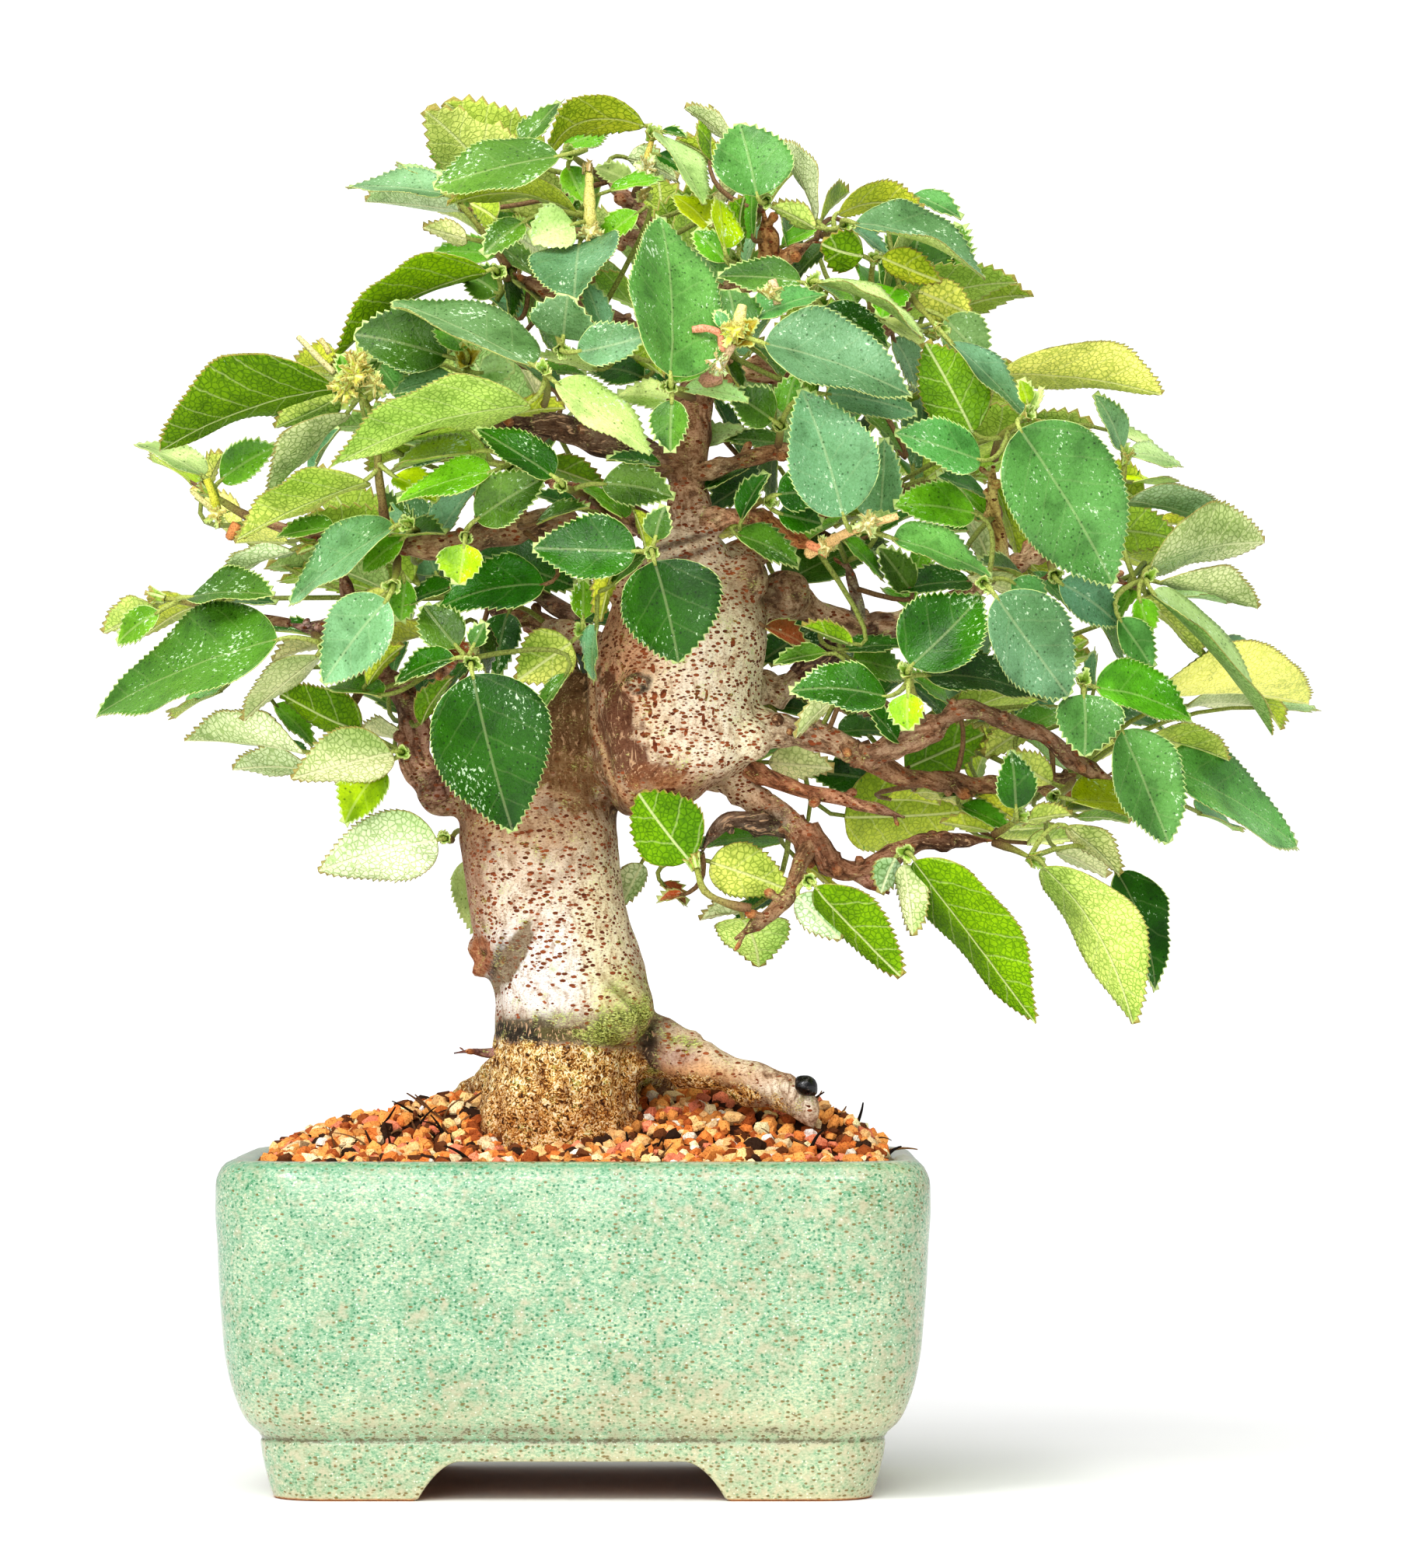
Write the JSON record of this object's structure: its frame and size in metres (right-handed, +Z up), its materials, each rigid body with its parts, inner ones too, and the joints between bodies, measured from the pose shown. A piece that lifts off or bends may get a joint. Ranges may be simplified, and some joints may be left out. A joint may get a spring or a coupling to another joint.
{
  "type": "chinese quince bonsai",
  "caption": "Small potted bonsai tree with a thick mottled trunk, a healed bulge, layered twigs and toothed leaves, in a footed glazed ceramic pot.",
  "frame": {"origin": "middle of the whole outline in plan, on the surface the pot's feet stand on", "axes": "+Z up along the trunk, the tree's viewing front and the pot's long side face -Y, +X to the viewer's right"},
  "size_m": [0.212, 0.1382, 0.2434],
  "materials": {
    "celadon_glaze": "celadon green glaze, glossy, finely speckled darker green and brown over stoneware, bare fired clay under the feet",
    "substrate": "fired clay and pumice granules, matt, tan to red-brown",
    "bark": "smooth flaking bark with brown lenticels, rougher and darker at the base and on the twigs",
    "leaf_deep": "living leaf, glossy dark green upper face, paler underside, pale toothed rim",
    "leaf_fresh": "living leaf, younger and lighter green, satin",
    "leaf_pale": "living leaf seen from its underside, pale yellow-green with a raised net of veins"
  },
  "bodies": {
    "root": {"pot": "celadon_glaze", "soil": "substrate", "tree": "bark", "shoot_far_left": "leaf_deep", "shoot_far_left_bud": "leaf_deep", "shoot_far_left_low": "leaf_deep", "shoot_left_inner": "leaf_deep", "shoot_left_end": "leaf_pale", "shoot_left_front": "leaf_deep", "shoot_left_bud": "leaf_pale", "shoot_lime_left": "leaf_deep", "shoot_centre_left_bud": "leaf_deep", "shoot_left_arm_spur": "leaf_deep", "shoot_long_left": "leaf_pale", "shoot_crown_left_front": "leaf_deep", "shoot_top_left_yellow": "leaf_deep", "shoot_top_left": "leaf_deep", "shoot_top_far_left": "leaf_deep", "shoot_crown_left_side": "leaf_pale", "shoot_left_cluster": "leaf_deep", "shoot_front_heart": "leaf_deep", "shoot_crown_front_bud": "leaf_deep", "shoot_top_peak": "leaf_pale", "shoot_top_right_big": "leaf_deep", "shoot_top_right_low": "leaf_pale", "shoot_top_right": "leaf_deep", "shoot_crown_right_mid": "leaf_pale", "shoot_crown_right_end": "leaf_pale", "shoot_crown_right_front": "leaf_deep", "shoot_centre_right": "leaf_deep", "shoot_centre_right_low": "leaf_deep", "shoot_centre_dark": "leaf_deep", "shoot_right_bud": "leaf_deep", "shoot_right_inner": "leaf_deep", "shoot_right_inner_bud": "leaf_deep", "shoot_right_low_bud": "leaf_deep", "shoot_right_pair": "leaf_deep", "shoot_right_far_bud": "leaf_pale", "shoot_right_far_top": "leaf_deep", "shoot_right_end": "leaf_deep", "shoot_right_lower_end": "leaf_deep", "shoot_drooping_end": "leaf_deep", "shoot_hanging_end": "leaf_pale", "shoot_hanging_right": "leaf_pale", "shoot_hanging_centre": "leaf_pale", "shoot_hanging_fork": "leaf_pale", "shoot_low_left": "leaf_pale", "shoot_low_left_far": "leaf_pale", "shoot_trunk_left": "leaf_pale", "shoot_front_low": "leaf_deep", "shoot_bulge_left": "leaf_pale", "shoot_bulge_front": "leaf_deep", "shoot_back_left_end": "leaf_fresh", "shoot_back_left_low_end": "leaf_fresh", "shoot_back_top_end": "leaf_fresh", "shoot_back_high_end": "leaf_fresh", "shoot_back_right_top_end": "leaf_fresh", "shoot_back_right_mid": "leaf_fresh", "shoot_back_right_end": "leaf_fresh", "shoot_back_right_low_end": "leaf_fresh"}
  },
  "joints": []
}
